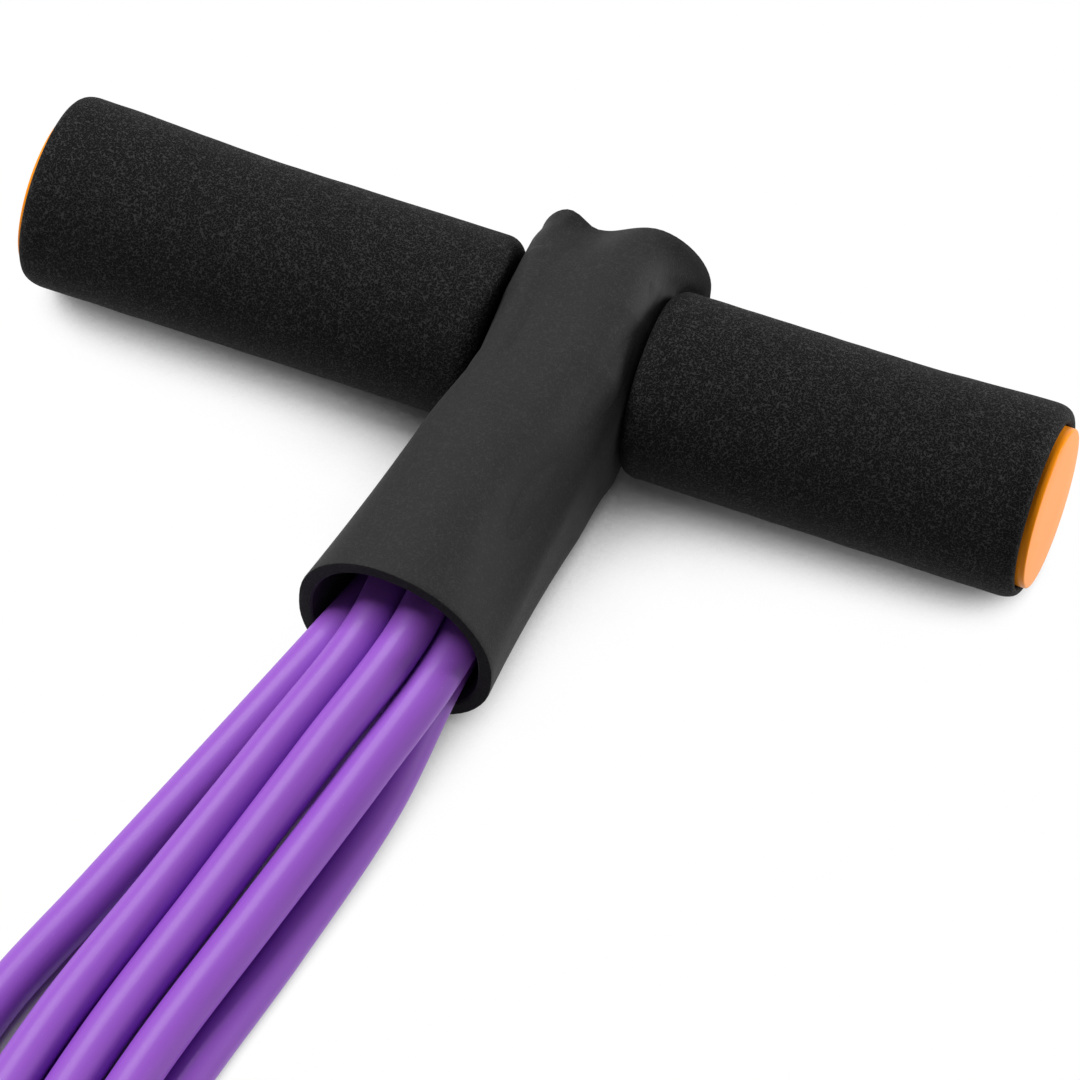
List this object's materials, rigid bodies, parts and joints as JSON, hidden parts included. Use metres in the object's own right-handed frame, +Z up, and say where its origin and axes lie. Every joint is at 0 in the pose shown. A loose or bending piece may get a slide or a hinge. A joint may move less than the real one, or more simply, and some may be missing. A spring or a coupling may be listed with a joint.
{
  "type": "resistance band",
  "caption": "Pedal resistance band: foam-gripped handle bar and foot bar joined by folded loops of latex tube in foam sleeves, stretched between hands and feet.",
  "frame": {"origin": "on the floor, under the middle of the box of the handle, the foot bar and the sleeves", "axes": "+Y from the foot bar to the handle, +X along both bars to the right-hand grip, +Z up from the floor"},
  "size_m": [0.2644, 0.4448, 0.0438],
  "materials": {
    "bar_steel": "plain drawn steel tube, satin",
    "grip_foam": "matte closed-cell foam with a fine wrinkled skin",
    "sleeve_foam": "smooth matte foam rubber skin",
    "tube_latex": "satin purple latex",
    "cap_plastic": "satin orange moulded plastic",
    "joiner_plastic": "black moulded plastic"
  },
  "bodies": {
    "band": {"handle_sleeve": "sleeve_foam", "left_tube_loop": "tube_latex", "middle_tube_loop": "tube_latex", "right_tube_loop": "tube_latex", "left_tube_joiner": "joiner_plastic", "middle_tube_joiner": "joiner_plastic", "right_tube_joiner": "joiner_plastic"},
    "handle": {"handle_bar": "bar_steel", "left_grip": "grip_foam", "right_grip": "grip_foam", "left_end_cap": "cap_plastic", "right_end_cap": "cap_plastic"},
    "foot_end": {"foot_sleeve": "sleeve_foam"},
    "foot_bar_set": {"foot_bar": "bar_steel", "left_foot_roller": "grip_foam", "right_foot_roller": "grip_foam", "left_foot_cap": "cap_plastic", "right_foot_cap": "cap_plastic"}
  },
  "joints": [
    {"name": "handle_roll", "type": "hinge", "parent": "band", "child": "handle", "pos_m": [0.028, 0.2, 0.0216], "axis": [1, 0, 0], "continuous": true},
    {"name": "band_stretch", "type": "slide", "parent": "band", "child": "foot_end", "axis": [0, -1, 0], "range_m": [0, 0.5], "stiffness_N_per_m": 500, "deforming": ["left_tube_loop", "middle_tube_loop", "right_tube_loop"]},
    {"name": "foot_roll", "type": "hinge", "parent": "foot_end", "child": "foot_bar_set", "pos_m": [-0.01, -0.2, 0.0216], "axis": [1, 0, 0], "continuous": true}
  ]
}
